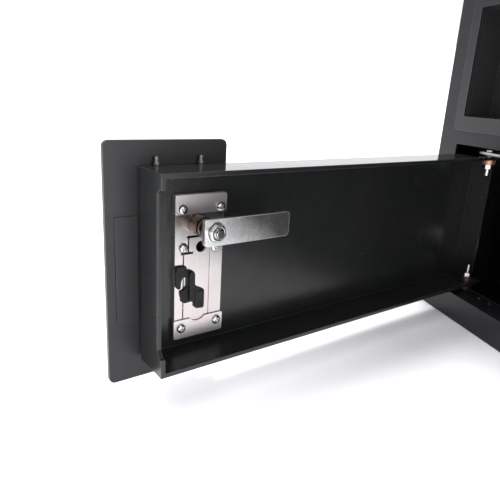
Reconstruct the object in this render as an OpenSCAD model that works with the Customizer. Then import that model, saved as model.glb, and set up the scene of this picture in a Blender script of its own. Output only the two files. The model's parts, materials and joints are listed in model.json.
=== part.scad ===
// Wall safe: a shallow sheet-steel box with a low drop-in door opening, a recessed
// pocket above it, and a folded pan door carrying a mechanical push-button lock.
// Frame: millimetres. X to the right seen from the front, Y into the wall, Z up.
// Origin: centre of the back panel's outer face. The door is hinged on the left.

/* [Body] */
// Overall width of the safe body
body_w = 406; // [404:1:420]
// Overall height of the safe body
body_h = 304; // [300:1:330]
// Overall depth of the body, front face to back face
body_d = 102; // [96:1:140]
// Thickness of the body sheet
sheet_t = 2; // [1.6:0.2:2]
// Width of the front border around the door opening
border = 25; // [24:0.5:26]
// Height of the door opening
opening_h = 138; // [136:0.5:140]
// Depth of the folded jamb return behind the front face
jamb_d = 24.5; // [20:0.5:24.5]

/* [Recessed pocket] */
// Width of the pocket window
pocket_w = 343; // [300:1:350]
// Height of the pocket window
pocket_h = 90.5; // [60:0.5:91]
// Depth of the pocket from the front face
pocket_d = 25.7; // [15:0.1:30]
// Thickness of the raised trim frame
trim_t = 2.5; // [1.5:0.1:4]

/* [Door] */
// Angle the door stands open in the rest pose
open_deg = 69.4; // [0:0.1:69.4]
// Length of the door pan
door_len = 350; // [340:0.5:350]
// Height of the door pan
door_h = 125; // [124:0.5:125]
// Depth of the door pan
door_d = 31.7; // [31:0.1:32]
// Thickness of the door sheet
door_t = 3; // [2.5:0.1:3]
// Outside bend radius of the door sheet
bend_r = 4; // [3.5:0.1:4.5]
// Width of the cover plate at the lock end
cover_w = 82.1; // [80:0.1:84]
// Height of the cover plate
cover_h = 153.7; // [150:0.1:156]

/* [Lock] */
// Reach of the cam from its shaft to its tip
cam_reach = 57.5; // [52:0.5:58]
// Width of the cam
cam_w = 16.8; // [14:0.1:17.2]
// Spacing of the push buttons
button_pitch = 10.5; // [10.4:0.1:10.7]

/* [Hidden] */
$fn = 48;

lap = 0.01;                             // overlap of joined solids
front_y = -body_d;
opening_bottom = -body_h/2 + border;
opening_top = opening_bottom + opening_h;
opening_x = body_w/2 - border;          // half width of the opening
jamb_under = opening_bottom - sheet_t;  // underside of the lower jamb

// Door coordinates, on the closed door: u from the free end towards the hinge,
// v down from the pan's top, w from the rim plane out towards the room.
pivot_u = door_len - 15.2;
pivot_w = 6.4;
pivot_x = -opening_x + 19.05;
pivot_y = front_y + 23.5;
pan_top = opening_bottom + 4.3 + door_h;
pan_bottom = pan_top - door_h;
pan_face = [door_d - door_t, door_d];   // w span of the pan's face sheet
cover_face = door_d + door_t;           // outer face of the cover plate

// Colours
painted = [0.20, 0.20, 0.21];
zinc = [0.78, 0.77, 0.74];
steel = [0.80, 0.79, 0.78];
black = [0.05, 0.05, 0.05];
brass = [0.72, 0.52, 0.25];
copper = [0.75, 0.45, 0.30];
housing_grey = [0.25, 0.25, 0.26];
ring_brown = [0.25, 0.22, 0.2];
knob_grey = [0.6, 0.6, 0.6];

// ---- helpers; a span is [from, to]
function grow(span, by) = [span[0] - by, span[1] + by];

module at_pivot() translate([pivot_x, pivot_y, 0]) children();
module on_door() at_pivot() rotate([0, 0, -open_deg]) children();
module body_box(x, y, z)
  translate([x[0], y[0], z[0]]) cube([x[1] - x[0], y[1] - y[0], z[1] - z[0]]);
// rectangle with four rounded corners
module round_rect(x, y, r) {
  translate([x[0] + r, y[0]]) square([x[1] - x[0] - 2*r, y[1] - y[0]]);
  translate([x[0], y[0] + r]) square([x[1] - x[0], y[1] - y[0] - 2*r]);
  for (cx = [x[0] + r, x[1] - r], cy = [y[0] + r, y[1] - r]) translate([cx, cy]) circle(r = r);
}
// box from its u, v and w spans
module door_box(u, v, w)
  translate([pivot_u - u[1], pivot_w - w[1], pan_top - v[1]])
    cube([u[1] - u[0], w[1] - w[0], v[1] - v[0]]);
// cylinder along w, centred at [u, v]
module rod_w(centre, w, r, sides = 48)
  translate([pivot_u - centre[0], pivot_w - w[0], pan_top - centre[1]])
    rotate([90, 0, 0]) cylinder(h = w[1] - w[0], r = r, $fn = sides);
module rods_w(centres, w, r) for (centre = centres) rod_w(centre, w, r, 32);
// cylinder along v, centred at [u, w]
module rod_v(centre, v, r, sides = 48)
  translate([pivot_u - centre[0], pivot_w - centre[1], pan_top - v[1]])
    cylinder(h = v[1] - v[0], r = r, $fn = sides);
// extrusions of (u, v), (w, v) and (u, w) outlines
module extrude_w(w)
  translate([pivot_u, pivot_w - w[0], pan_top])
    rotate([90, 0, 0]) linear_extrude(w[1] - w[0]) rotate(180) children();
module extrude_u(u)
  translate([pivot_u - u[1], pivot_w, pan_top])
    rotate([90, 0, 90]) linear_extrude(u[1] - u[0]) rotate(180) children();
module extrude_v(v)
  translate([pivot_u, pivot_w, pan_top - v[1]])
    linear_extrude(v[1] - v[0]) rotate(180) children();

// ---- body
pocket_x = [-pocket_w/2, pocket_w/2];
pocket_bottom = opening_top + 25;
pocket_z = [pocket_bottom, pocket_bottom + pocket_h];
tray_wall = 1.5;
back_hole_r = 5;
side_hole_r = 3;

module body_shell() color(painted) difference() {
  body_box([-body_w/2, body_w/2], [front_y + sheet_t, 0], [-body_h/2, body_h/2]);
  body_box([-body_w/2 + sheet_t, body_w/2 - sheet_t], [front_y, -sheet_t],
    [-body_h/2 + sheet_t, body_h/2 - sheet_t]);
  for (x = [-150, 150], z = [-100, 100])
    translate([x, 1, z]) rotate([90, 0, 0]) cylinder(h = sheet_t + 2, r = back_hole_r);
  for (side = [-1, 1], z = [-100, 100])
    translate([side*(body_w/2 - sheet_t/2), -40, z])
      rotate([0, 90, 0]) cylinder(h = sheet_t + 2, r = side_hole_r, center = true);
}
module front_fascia() color(painted) difference() {
  jamb_y = [front_y, front_y + jamb_d];
  union() {
    body_box([-body_w/2, body_w/2], [front_y, front_y + sheet_t], [-body_h/2, body_h/2]);
    // jamb return: top, bottom and lock side
    body_box([-opening_x, opening_x + sheet_t], jamb_y, [opening_top, opening_top + sheet_t]);
    body_box([-opening_x, opening_x + sheet_t], jamb_y, [jamb_under, opening_bottom]);
    body_box([opening_x, opening_x + sheet_t], jamb_y, [jamb_under, opening_top + sheet_t]);
  }
  body_box([-opening_x, opening_x], grow(jamb_y, 1), [opening_bottom, opening_top]);
  body_box(pocket_x, [front_y - 1, front_y + sheet_t + 1], pocket_z);
  at_pivot() {
    // relief around the lower pivot bolt
    translate([0, 0, jamb_under - 1]) cylinder(h = sheet_t + 2, r = 7);
    strap_holes(top_screw_x, opening_top - 1, sheet_t + 2);
    strap_holes(bottom_screw_x, jamb_under - 1, sheet_t + 2);
  }
}
module recess_tray() color(painted) difference() {
  body_box(grow(pocket_x, tray_wall), [front_y + sheet_t, front_y + pocket_d + tray_wall],
    grow(pocket_z, tray_wall));
  body_box(pocket_x, [front_y, front_y + pocket_d], pocket_z);
}
module recess_trim() color(painted)
  translate([0, front_y, 0]) rotate([90, 0, 0]) linear_extrude(trim_t) difference() {
    round_rect(grow(pocket_x, 11), grow(pocket_z, 12.5), 5);
    round_rect(pocket_x, pocket_z, 1.2);
  }

// ---- hinge straps; x and y are measured from the pivot
strap_t = 3;
strap_w = 15;
strap_corner_r = 5;
strap_corner_x = -4.6;
top_strap_z = pan_top + 1.0;
top_strap_end = 66;
joggle_x = 31;               // where the top strap starts to rise
top_screw_x = [44, 58];
bottom_screw_x = [26, 40];
strap_screw_y = -3.5;
strap_screw_r = 2.0;
strap_hole_r = 2.05;
strap_head_h = 2.0;
strap_head_r = 3.5;

module strap_holes(xs, z, h)
  for (x = xs) translate([x, strap_screw_y, z]) cylinder(h = h, r = strap_hole_r);
// flat strap with a rounded end around the pivot hole
module strap_flat(end_x, z) difference() {
  corner_y = strap_w/2 - strap_corner_r;
  translate([0, 0, z]) linear_extrude(strap_t) union() {
    translate([strap_corner_x, -strap_w/2]) square([end_x - strap_corner_x, strap_w]);
    translate([strap_corner_x - strap_corner_r, -corner_y])
      square([strap_corner_r + 1, 2*corner_y]);
    for (side = [-1, 1])
      translate([strap_corner_x, side*corner_y]) circle(r = strap_corner_r);
  }
  translate([0, 0, z - 1]) cylinder(h = strap_t + 2, r = 2.55);
}
module hinge_strap_top() color(zinc) at_pivot() difference() {
  end = top_strap_end - joggle_x;
  union() {
    strap_flat(joggle_x + 3, top_strap_z);
    // joggle up to the opening's top edge
    translate([joggle_x, strap_w/2, 0]) rotate([90, 0, 0]) linear_extrude(strap_w)
      polygon([[0, top_strap_z], [3, top_strap_z], [9, opening_top - strap_t],
        [end, opening_top - strap_t], [end, opening_top], [6, opening_top],
        [0, top_strap_z + strap_t]]);
  }
  strap_holes(top_screw_x, opening_top - strap_t - 1, strap_t + 2);
}
module hinge_strap_bottom() color(zinc) at_pivot() difference() {
  strap_flat(48, jamb_under - strap_t);
  strap_holes(bottom_screw_x, jamb_under - strap_t - 1, strap_t + 2);
}
// screws entering upwards from z, the underside of a strap
module strap_screw_row(xs, z, shank) for (x = xs) translate([x, strap_screw_y, 0]) {
  translate([0, 0, z - strap_head_h]) cylinder(h = strap_head_h, r = strap_head_r);
  translate([0, 0, z - lap]) cylinder(h = shank, r = strap_screw_r);
}
module strap_screws() color(zinc) at_pivot() {
  strap_screw_row(top_screw_x, opening_top - strap_t, strap_t + sheet_t + 2);
  strap_screw_row(bottom_screw_x, jamb_under - strap_t, strap_t + sheet_t + 0.6);
}

// ---- door pan and cover plate
lock_screw_at = [[26.5, 27.1], [54.2, 27.2], [26.4, 107.7], [53.5, 107.1]];  // [u, v]
lock_hole_r = 1.6;
cover_u = -20.3;             // free end of the cover plate
cover_v = -14.7;             // top of the cover plate
cover_span = [door_d, cover_face];

module lock_cutout(w) door_box([26.5, 54], [32, 104], w);
module wv_outline() {   // outside of the pan's section across its length
  square([door_d - bend_r, door_h]);
  translate([0, bend_r]) square([door_d, door_h - 2*bend_r]);
  for (v = [bend_r, door_h - bend_r]) translate([door_d - bend_r, v]) circle(r = bend_r);
}
module uw_outline() {   // outside of the pan's section along its length
  square([door_len, door_d - bend_r]);
  translate([bend_r, 0]) square([door_len - 2*bend_r, door_d]);
  for (u = [bend_r, door_len - bend_r]) translate([u, door_d - bend_r]) circle(r = bend_r);
}
module door_pan() color(painted) on_door() difference() {
  inside_v = [door_t, door_h - door_t];
  intersection() {
    extrude_u([0, door_len]) wv_outline();
    extrude_v([0, door_h]) uw_outline();
  }
  door_box([door_t, door_len - door_t], inside_v, [-1, door_d - door_t]);
  // lowered rim of the free end, so that the cam can swing across it; [w, v]
  extrude_u([-1, door_t + lap])
    polygon([[-1, 9.2], [2.4, 9.2], [5.5, 12.2],
      [5.5, door_h - 17], [2.4, door_h - 12.5], [-1, door_h - 12.5]]);
  // lowered rim of the hinge end
  door_box([door_len - door_t - lap, door_len + 1], inside_v, [-1, 8.8]);
  lock_cutout(grow(pan_face, 1));
  rods_w(lock_screw_at, grow(pan_face, 1), lock_hole_r);
  // pivot holes
  for (v = [[-1, door_t + 1], [door_h - door_t - 1, door_h + 1]])
    rod_v([pivot_u, pivot_w], v, 4.02);
}
module cover_plate() color(painted) on_door() difference() {
  extrude_w(cover_span)
    round_rect([cover_u, cover_u + cover_w], [cover_v, cover_v + cover_h], 4);
  lock_cutout(grow(cover_span, 1));
  rods_w(lock_screw_at, grow(cover_span, 1), lock_hole_r);
}
// thin rubbing strip behind the overhang at the free end
module cover_bumper() color(painted) on_door()
  extrude_w([door_d - 0.9, door_d]) round_rect([-14.7, -1.2], [30, 97.3], 0.6);
// two stepped stubs standing on the pan's top edge, behind the cover plate
module cover_pins() color(zinc) on_door() for (u = [11.2, 41.2]) {
  rod_v([u, 28.9], [-1.8, 0], 1.9);
  rod_v([u, 28.9], [-5.2, -1.8 + lap], 1.35);
}

// ---- pivots
bolt_r = 2.5;
bolt_bore_r = 2.53;
bolt_gap = 0.1;              // between a bolt head and its strap
hex_d = 8/cos(30);           // across corners
nut_h = 4;
collar_h = 4.4;              // height of the bush collar
nut_offset = door_t + collar_h + 0.05;

module pivot_bolts() color(zinc) on_door() {
  // upper: low round head above the strap
  upper_head_z = top_strap_z + strap_t + bolt_gap;
  translate([0, 0, upper_head_z]) cylinder(h = 1.1, r = 4.2);
  translate([0, 0, upper_head_z - 21.7]) cylinder(h = 21.7 + lap, r = bolt_r);
  // lower: hexagonal head below the strap
  lower_shank_z = jamb_under - strap_t - bolt_gap;
  translate([0, 0, lower_shank_z - 3.5]) cylinder(h = 3.5, d = hex_d, $fn = 6);
  translate([0, 0, lower_shank_z - lap])
    cylinder(h = sheet_t + strap_t + bolt_gap + 24.3, r = bolt_r);
}
module bush(z, flip) translate([0, 0, z]) mirror([0, 0, flip]) difference() {
  union() {
    cylinder(h = door_t + 0.2, r = 4.0);
    translate([0, 0, door_t + lap]) cylinder(h = collar_h, r = 5.7);
  }
  translate([0, 0, -1]) cylinder(h = door_t + collar_h + 2, r = bolt_bore_r);
}
module pivot_bushes() color(copper) on_door() {
  bush(pan_top, 1);
  bush(pan_bottom, 0);
}
module pivot_nuts() color(zinc) on_door() difference() {
  union() for (z = [pan_top - nut_offset - nut_h, pan_bottom + nut_offset])
    translate([0, 0, z]) cylinder(h = nut_h, d = hex_d, $fn = 6);
  translate([0, 0, pan_bottom]) cylinder(h = door_h, r = bolt_bore_r);
}
module thrust_washer() color(copper) on_door() difference() {
  translate([0, 0, jamb_under + 0.02]) cylinder(h = sheet_t + 4.2, r = 6);
  translate([0, 0, opening_bottom - 3]) cylinder(h = 9, r = bolt_bore_r);
}

// ---- lock, fixed parts
// layers behind the pan's face sheet, as w levels
flange_front = pan_face[0];
flange_back = flange_front - 1.9;
plate_back = flange_back - 1.2;
tab_back = plate_back - 1;
block_back = flange_front - 0.1;   // chassis block, sunk into its flange
chassis_front = 41;
housing_front = cover_face + 16;
housing_u = [18.5, 58.5];
housing_v = [14, 119.5];
shaft_at = [37, 37.2];             // knob shaft, [u, v]
shaft_bore_r = 4.56;
tumbler_at = [32.2, 33.5];         // tumbler shaft, [u, w]
plate_screw_at = [[27.8, 52.4], [51.3, 54.7]];  // [u, v]
plate_hole_r = 1.45;
function button_at(i) = [38.5, 56 + (i - 1)*button_pitch];  // [u, v]

module shaft_bore(w) rod_w(shaft_at, w, shaft_bore_r);
module housing_outline(inset, r)
  round_rect(grow(housing_u, -inset), grow(housing_v, -inset), r);
module front_housing() color(housing_grey) on_door() difference() {
  union() {
    difference() {
      union() {
        extrude_w([cover_face, housing_front - 1.5]) housing_outline(0, 5);
        extrude_w([housing_front - 1.5 - lap, housing_front]) housing_outline(1, 4);
      }
      extrude_w([cover_face - 1, housing_front - 2.5]) housing_outline(2.5, 3);
    }
    // screw posts
    rods_w(lock_screw_at, [cover_face, housing_front - 2], 3.6);
  }
  rods_w(lock_screw_at, [cover_face - 1, cover_face + 10], 1.55);
  shaft_bore([cover_face, housing_front + 1]);
  for (i = [1:5]) rod_w(button_at(i), [housing_front - 4, housing_front + 1], 4.56);
}
module lock_chassis() color(zinc) on_door() difference() {
  union() {
    difference() {
      union() {
        door_box([22.2, 58.2], [18, 115.3], [flange_back, flange_front]);
        door_box([27, 53.5], [33, 103], [block_back, chassis_front]);
      }
      door_box([28.5, 52], [34.5, 101.5], [26, chassis_front - 1.5]);
      // clearance over the cranked slot
      door_box([25.9, 29], [55.5, 57.4], [26, block_back]);
      door_box([27.5, 29], [57.2, 101.5], [26, block_back]);
    }
    // lug for the plate screw
    door_box([49, 52.1], [52, 57.4], [flange_back, flange_front]);
    // cross web carrying the tumbler shaft
    door_box([28.4, 52.1], [47, 48.5], [block_back, 39.6]);
  }
  rods_w(lock_screw_at, [26, 30], lock_hole_r);
  rods_w(plate_screw_at, [26, flange_front + 2], plate_hole_r);
  shaft_bore([26, 42]);
  for (i = [1:5]) rod_w(button_at(i), [39, 42], 2.1, 32);
  rod_v(tumbler_at, [45, 104], 1.22, 32);
}
// cranked guide slot of the change slide, [u span, v span]
guide_slot = [
  [[30.6, 40.2], [44.9, 46.4]],
  [[31.2, 32.2], [46.3, 55.8]],
  [[26.2, 35.2], [55.7, 57.2]],
  [[27.8, 28.7], [57.1, 102.4]]];
module lock_base_plate() color(steel) on_door() difference() {
  cut = [25, 27.5];
  extrude_w([plate_back, flange_back]) round_rect([22, 57.2], [18.3, 115.5], 1);
  rods_w(lock_screw_at, cut, lock_hole_r);
  rods_w(plate_screw_at, cut, plate_hole_r);
  shaft_bore(cut);
  // access hole for the combination change tool
  rod_w([41.0, 53.0], cut, 3.8);
  for (part = guide_slot) door_box(part[0], part[1], cut);
  // fold line of the side strip
  door_box([47.2, 47.9], [48, 102.4], [25, 26.5]);
}
module lock_clamp_tabs() color(zinc) on_door() difference() {
  union() {
    extrude_w([tab_back, plate_back]) round_rect([21.6, 59], [18.2, 30.6], 1.6);
    extrude_w([tab_back, plate_back]) round_rect([21.2, 58.6], [102, 115.3], 1.2);
  }
  // curved pry notch
  rod_w([38.9, 97.6], [24, 27], 7);
  rods_w(lock_screw_at, [24, 27], lock_hole_r);
}
// cross-slotted screw whose head bears on level w
module pan_screw(centre, w, shank, r) {
  slot_long = 1.6;
  slot_half = 0.32;
  slot_w = [w - 3, w - 0.9];
  u = [centre[0], centre[0]];
  v = [centre[1], centre[1]];
  difference() {
    union() {
      rod_w(centre, [w - 1.3, w], 3.2, 32);
      rod_w(centre, [w - 2.1, w - 1.3 + lap], 2.4, 32);
    }
    door_box(grow(u, slot_long), grow(v, slot_half), slot_w);
    door_box(grow(u, slot_half), grow(v, slot_long), slot_w);
  }
  rod_w(centre, [w - lap, w + shank], r, 32);
}
module lock_screws() color(zinc) on_door()
  for (centre = lock_screw_at) pan_screw(centre, tab_back, shank = 19, r = 1.5);
module lock_plate_screws() color(zinc) on_door()
  for (centre = plate_screw_at) pan_screw(centre, plate_back, shank = 3.0, r = 1.4);
module tumbler_shaft() color(steel) on_door() rod_v(tumbler_at, [46.5, 102.8], 1.2, 32);
module shaft_sleeve() color(zinc) on_door() difference() {
  union() {
    rod_w(shaft_at, [15.0, plate_back], 6.4);
    rod_w(shaft_at, [24.4, plate_back], 6.5);
  }
  shaft_bore([14, 27]);
}
module sleeve_ring() color(ring_brown) on_door() difference() {
  rod_w(shaft_at, [14.2, 14.95], 6.7);
  shaft_bore([14, 16]);
}

// ---- knob and cam
spindle_end_r = 4.0;         // in the knob and in the cam
spindle_end_bore_r = 4.02;
thread_bore_r = 3.45;
// [w from, w to, radius]
spindle_steps = [
  [housing_front - 3, housing_front + 12 - lap, spindle_end_r],
  [14.0 - lap, housing_front - 3 + lap, 4.5],
  [5.15, 14.0, 6.3],
  [2.25, 5.2, spindle_end_r],
  [-3.5, 2.3, 3.4]];

module knob() color(knob_grey) on_door() difference() {
  union() {
    rod_w(shaft_at, [housing_front + 0.3, housing_front + 4.0], 13.5);
    rod_w(shaft_at, [housing_front + 3.9, housing_front + 6.5], 11.0);
    // finger wing
    extrude_w([housing_front + 6.4, housing_front + 17])
      translate(shaft_at) round_rect([-11, 11], [-3.6, 3.6], 3.2);
    // wider rib at the wing's foot
    extrude_w([housing_front + 6.4, housing_front + 9])
      translate(shaft_at) round_rect([-9, 9], [-5, 5], 4);
  }
  rod_w(shaft_at, [housing_front - 1, housing_front + 12], spindle_end_bore_r);
}
module knob_spindle() color(zinc) on_door()
  for (step = spindle_steps) rod_w(shaft_at, [step[0], step[1]], step[2]);
module cam() color(zinc) on_door() difference() {
  cam_u = shaft_at[0] - 7.6;
  cam_v = shaft_at[1] - 8.0;
  extrude_w([2.3, 5.1]) union() {
    round_rect([cam_u, shaft_at[0] + cam_reach], [cam_v, cam_v + cam_w], 2.8);
    // one square corner
    translate([cam_u, cam_v]) square([4, 4]);
  }
  rod_w(shaft_at, [1, 6], spindle_end_bore_r);
}
module cam_washer() color(steel) on_door() difference() {
  rod_w(shaft_at, [1.5, 2.25], 6.5);
  rod_w(shaft_at, [1, 3], thread_bore_r);
}
module cam_nut() color(zinc) on_door() difference() {
  rod_w(shaft_at, [-1.6, 1.45], 10/2/cos(30), 6);
  rod_w(shaft_at, [-3, 3], thread_bore_r);
}

// ---- buttons and code
spring_r = 3.1;              // to the wire's centre
spring_pitch = 1.42;

module button(i) color(steel) on_door() {
  back = housing_front - 4.4;
  face = housing_front + 2.7;
  rod_w(button_at(i), [back, face], 4.5);
  rod_w(button_at(i), [face - lap, housing_front + 3.5], 3.8);
  rod_w(button_at(i), [back, housing_front - 2.6], 5.0);
  rod_w(button_at(i), [37.15, back + lap], 2.0, 32);
}
// compression spring: turns joined by short bars on alternate sides
module button_spring(i) color(steel) on_door()
  translate([pivot_u - button_at(i)[0], pivot_w - chassis_front - 0.4, pan_top - button_at(i)[1]])
    rotate([90, 0, 0]) {
      for (k = [0:3]) translate([0, 0, 0.1 + k*spring_pitch])
        rotate_extrude($fn = 32) translate([spring_r, 0]) circle(r = 0.35, $fn = 16);
      for (k = [0:2]) rotate([0, 0, k*180]) translate([spring_r, 0, 0.1 + k*spring_pitch])
        cylinder(h = spring_pitch, r = 0.3, $fn = 16);
    }
module code_tumbler(i) color(brass) on_door() difference() {
  v = [button_at(i)[1], button_at(i)[1]];
  union() {
    rod_v(tumbler_at, grow(v, 2.5), 3.2);
    door_box([tumbler_at[0], 40.5], grow(v, 1.8), [35.2, 36.7]);
  }
  rod_v(tumbler_at, grow(v, 3), 1.25, 32);
}
module button_1() button(1);
module button_2() button(2);
module button_3() button(3);
module button_4() button(4);
module button_5() button(5);
module button_spring_1() button_spring(1);
module button_spring_2() button_spring(2);
module button_spring_3() button_spring(3);
module button_spring_4() button_spring(4);
module button_spring_5() button_spring(5);
module code_tumbler_1() code_tumbler(1);
module code_tumbler_2() code_tumbler(2);
module code_tumbler_3() code_tumbler(3);
module code_tumbler_4() code_tumbler(4);
module code_tumbler_5() code_tumbler(5);

// hooked plate of the change slide, [u, v]
slide_outline = [
  [22.6, 63.6], [29.2, 64.3], [29.9, 65.3], [30.1, 67.6], [33, 67.6], [35.4, 68.9],
  [36.4, 70.8], [36.6, 78.1], [37.9, 79.9], [42.9, 82.3], [43.6, 83.9], [43.6, 94.8],
  [42.9, 96.1], [40.3, 95.9], [38.3, 94.6], [36.8, 92.5], [34.2, 89.9], [28.9, 90.3],
  [26.5, 88.8], [26.4, 86.4], [25.6, 83.2], [25.7, 81.3], [27.5, 80.9], [29.1, 79.9],
  [30.1, 77.8], [30.2, 74.7], [29.6, 72.9], [28.5, 72.3], [27.2, 73.3], [26.6, 75.6],
  [26.5, 79.1], [25.4, 79.8], [24, 79.7], [22.6, 78.3], [22, 74.8], [21.8, 68.4],
  [22.2, 66.6], [22.2, 64.4]];
// moulded slide used when the code is changed
module change_slide() color(black) on_door() {
  extrude_w([24.2, 25.5]) polygon(slide_outline);
  // finger rib
  extrude_w([22.2, 24.2 + lap]) round_rect([30.6, 34.9], [68.3, 88.7], 1.6);
}

body_shell();
front_fascia();
recess_tray();
recess_trim();
hinge_strap_top();
hinge_strap_bottom();
strap_screws();
door_pan();
cover_plate();
cover_bumper();
cover_pins();
pivot_bolts();
pivot_bushes();
pivot_nuts();
thrust_washer();
front_housing();
lock_chassis();
lock_base_plate();
lock_clamp_tabs();
lock_screws();
lock_plate_screws();
tumbler_shaft();
shaft_sleeve();
sleeve_ring();
knob();
knob_spindle();
cam();
cam_washer();
cam_nut();
button_1();
button_2();
button_3();
button_4();
button_5();
button_spring_1();
button_spring_2();
button_spring_3();
button_spring_4();
button_spring_5();
code_tumbler_1();
code_tumbler_2();
code_tumbler_3();
code_tumbler_4();
code_tumbler_5();
change_slide();
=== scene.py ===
# Charcoal steel box whose hinged door stands open, showing its five-button mechanical lock.
# The box is centred on X and Z with its back near y = 0 and its front towards -Y.
# The door hinges at the -X side. New pieces are modelled in door millimetres:
#   u from the door's free end towards the hinge, v down from the pan's top edge,
#   w from the pan's rim out towards the room.
import json
import math
import bpy
import bmesh
from mathutils import Matrix, Vector


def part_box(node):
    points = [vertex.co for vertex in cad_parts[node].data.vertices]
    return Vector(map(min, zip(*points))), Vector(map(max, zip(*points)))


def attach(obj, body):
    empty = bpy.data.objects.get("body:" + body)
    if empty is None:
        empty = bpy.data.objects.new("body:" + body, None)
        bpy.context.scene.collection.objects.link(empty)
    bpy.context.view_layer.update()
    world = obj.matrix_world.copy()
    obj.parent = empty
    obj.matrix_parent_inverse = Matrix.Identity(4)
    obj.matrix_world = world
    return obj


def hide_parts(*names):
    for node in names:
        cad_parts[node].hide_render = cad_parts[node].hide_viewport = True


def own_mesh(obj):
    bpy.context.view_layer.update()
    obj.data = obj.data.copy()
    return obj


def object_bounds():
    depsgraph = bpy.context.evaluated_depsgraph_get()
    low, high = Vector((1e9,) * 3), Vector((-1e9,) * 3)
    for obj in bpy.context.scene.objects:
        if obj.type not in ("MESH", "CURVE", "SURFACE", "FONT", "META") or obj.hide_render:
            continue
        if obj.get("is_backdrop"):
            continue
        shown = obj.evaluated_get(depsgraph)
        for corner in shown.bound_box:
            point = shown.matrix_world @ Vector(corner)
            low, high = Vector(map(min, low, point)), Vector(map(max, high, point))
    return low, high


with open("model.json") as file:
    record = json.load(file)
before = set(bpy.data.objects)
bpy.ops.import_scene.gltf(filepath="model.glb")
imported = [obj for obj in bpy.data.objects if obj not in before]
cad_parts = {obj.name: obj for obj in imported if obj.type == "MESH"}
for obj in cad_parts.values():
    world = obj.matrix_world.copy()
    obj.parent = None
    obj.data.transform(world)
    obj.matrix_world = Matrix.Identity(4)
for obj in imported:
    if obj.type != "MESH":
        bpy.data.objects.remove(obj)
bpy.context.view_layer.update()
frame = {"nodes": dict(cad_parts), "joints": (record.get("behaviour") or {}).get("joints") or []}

NODES = frame["nodes"]
MM = 0.001

# ------------------------------------------------------------------ places
hinge_joint = next(j for j in frame["joints"] if j["name"] == "door_hinge")
HINGE = Vector(hinge_joint["pos_m"])
HINGE_U, HINGE_W = 334.8, 6.4
opening = math.radians(hinge_joint["range_deg"][1])
U = Vector((-math.cos(opening), math.sin(opening), 0.0))
V = Vector((0.0, 0.0, -1.0))
W = Vector((-math.sin(opening), -math.cos(opening), 0.0))
PAN_LO, PAN_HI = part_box("door_pan")
BODY_LO, BODY_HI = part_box("body_shell")
FRONT_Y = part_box("front_fascia")[0].y
SPINDLE = (37.0, 37.2)  # u, v of the spindle's axis


def door_point(u, v, w):
    """The place in the frame, in metres, of a point in door millimetres."""
    level = HINGE + MM * ((u - HINGE_U) * U + (w - HINGE_W) * W)
    return level + Vector((0, 0, PAN_HI.z - HINGE.z)) + MM * v * V


DOOR_ORIGIN = door_point(0, 0, 0)
door_axes = Matrix((U, V, W)).transposed().to_4x4()
DOOR = Matrix.Translation(DOOR_ORIGIN) @ door_axes @ Matrix.Scale(MM, 4)


# ------------------------------------------------------------------ node helpers
class Graph:
    """Adds nodes to a tree. A source may be a socket, a number, a Vector or a colour tuple."""

    def __init__(self, tree):
        self.tree = tree

    def node(self, kind, **settings):
        made = self.tree.nodes.new(kind)
        for name, value in settings.items():
            if name in made.inputs:
                made.inputs[name].default_value = value
            else:
                setattr(made, name, value)
        return made

    def plug(self, source, target):
        if isinstance(source, (int, float, Vector)):
            target.default_value = source
        elif isinstance(source, tuple):
            target.default_value = (*source, 1)
        else:
            self.tree.links.new(source, target)

    def math(self, operation, *sources):
        made = self.node("ShaderNodeMath", operation=operation)
        for source, target in zip(sources, made.inputs):
            self.plug(source, target)
        return made.outputs[0]

    def add(self, first, second):
        return self.math("ADD", first, second)

    def subtract(self, first, second):
        return self.math("SUBTRACT", first, second)

    def multiply(self, first, second):
        return self.math("MULTIPLY", first, second)

    def vector_math(self, operation, *sources):
        made = self.node("ShaderNodeVectorMath", operation=operation)
        for source, target in zip(sources, made.inputs):
            self.plug(source, target)
        return made.outputs[0 if operation in ("SUBTRACT", "CROSS_PRODUCT") else "Value"]

    def mix(self, share, first, second):
        made = self.node("ShaderNodeMix", data_type="RGBA")
        self.plug(share, made.inputs[0])
        self.plug(first, made.inputs[6])
        self.plug(second, made.inputs[7])
        return made.outputs[2]

    def curve(self, source, stops):
        """Grey colour ramp through stops of (position, grey)."""
        made = self.node("ShaderNodeValToRGB")
        elements = made.color_ramp.elements
        while len(elements) < len(stops):
            elements.new(0.5)
        for element, (position, grey) in zip(elements, stops):
            element.position = position
            element.color = (grey, grey, grey, 1)
        self.plug(source, made.inputs[0])
        return made.outputs[0]

    def ramp(self, source, start, end, low=0.0, high=1.0):
        return self.curve(source, [(start, low), (end, high)])

    def map_range(self, source, from_min, from_max, to_min, to_max):
        made = self.node("ShaderNodeMapRange")
        for value, target in zip((source, from_min, from_max, to_min, to_max), made.inputs):
            self.plug(value, target)
        return made.outputs[0]

    def separate(self, vector):
        made = self.node("ShaderNodeSeparateXYZ")
        self.plug(vector, made.inputs[0])
        return made.outputs


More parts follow.
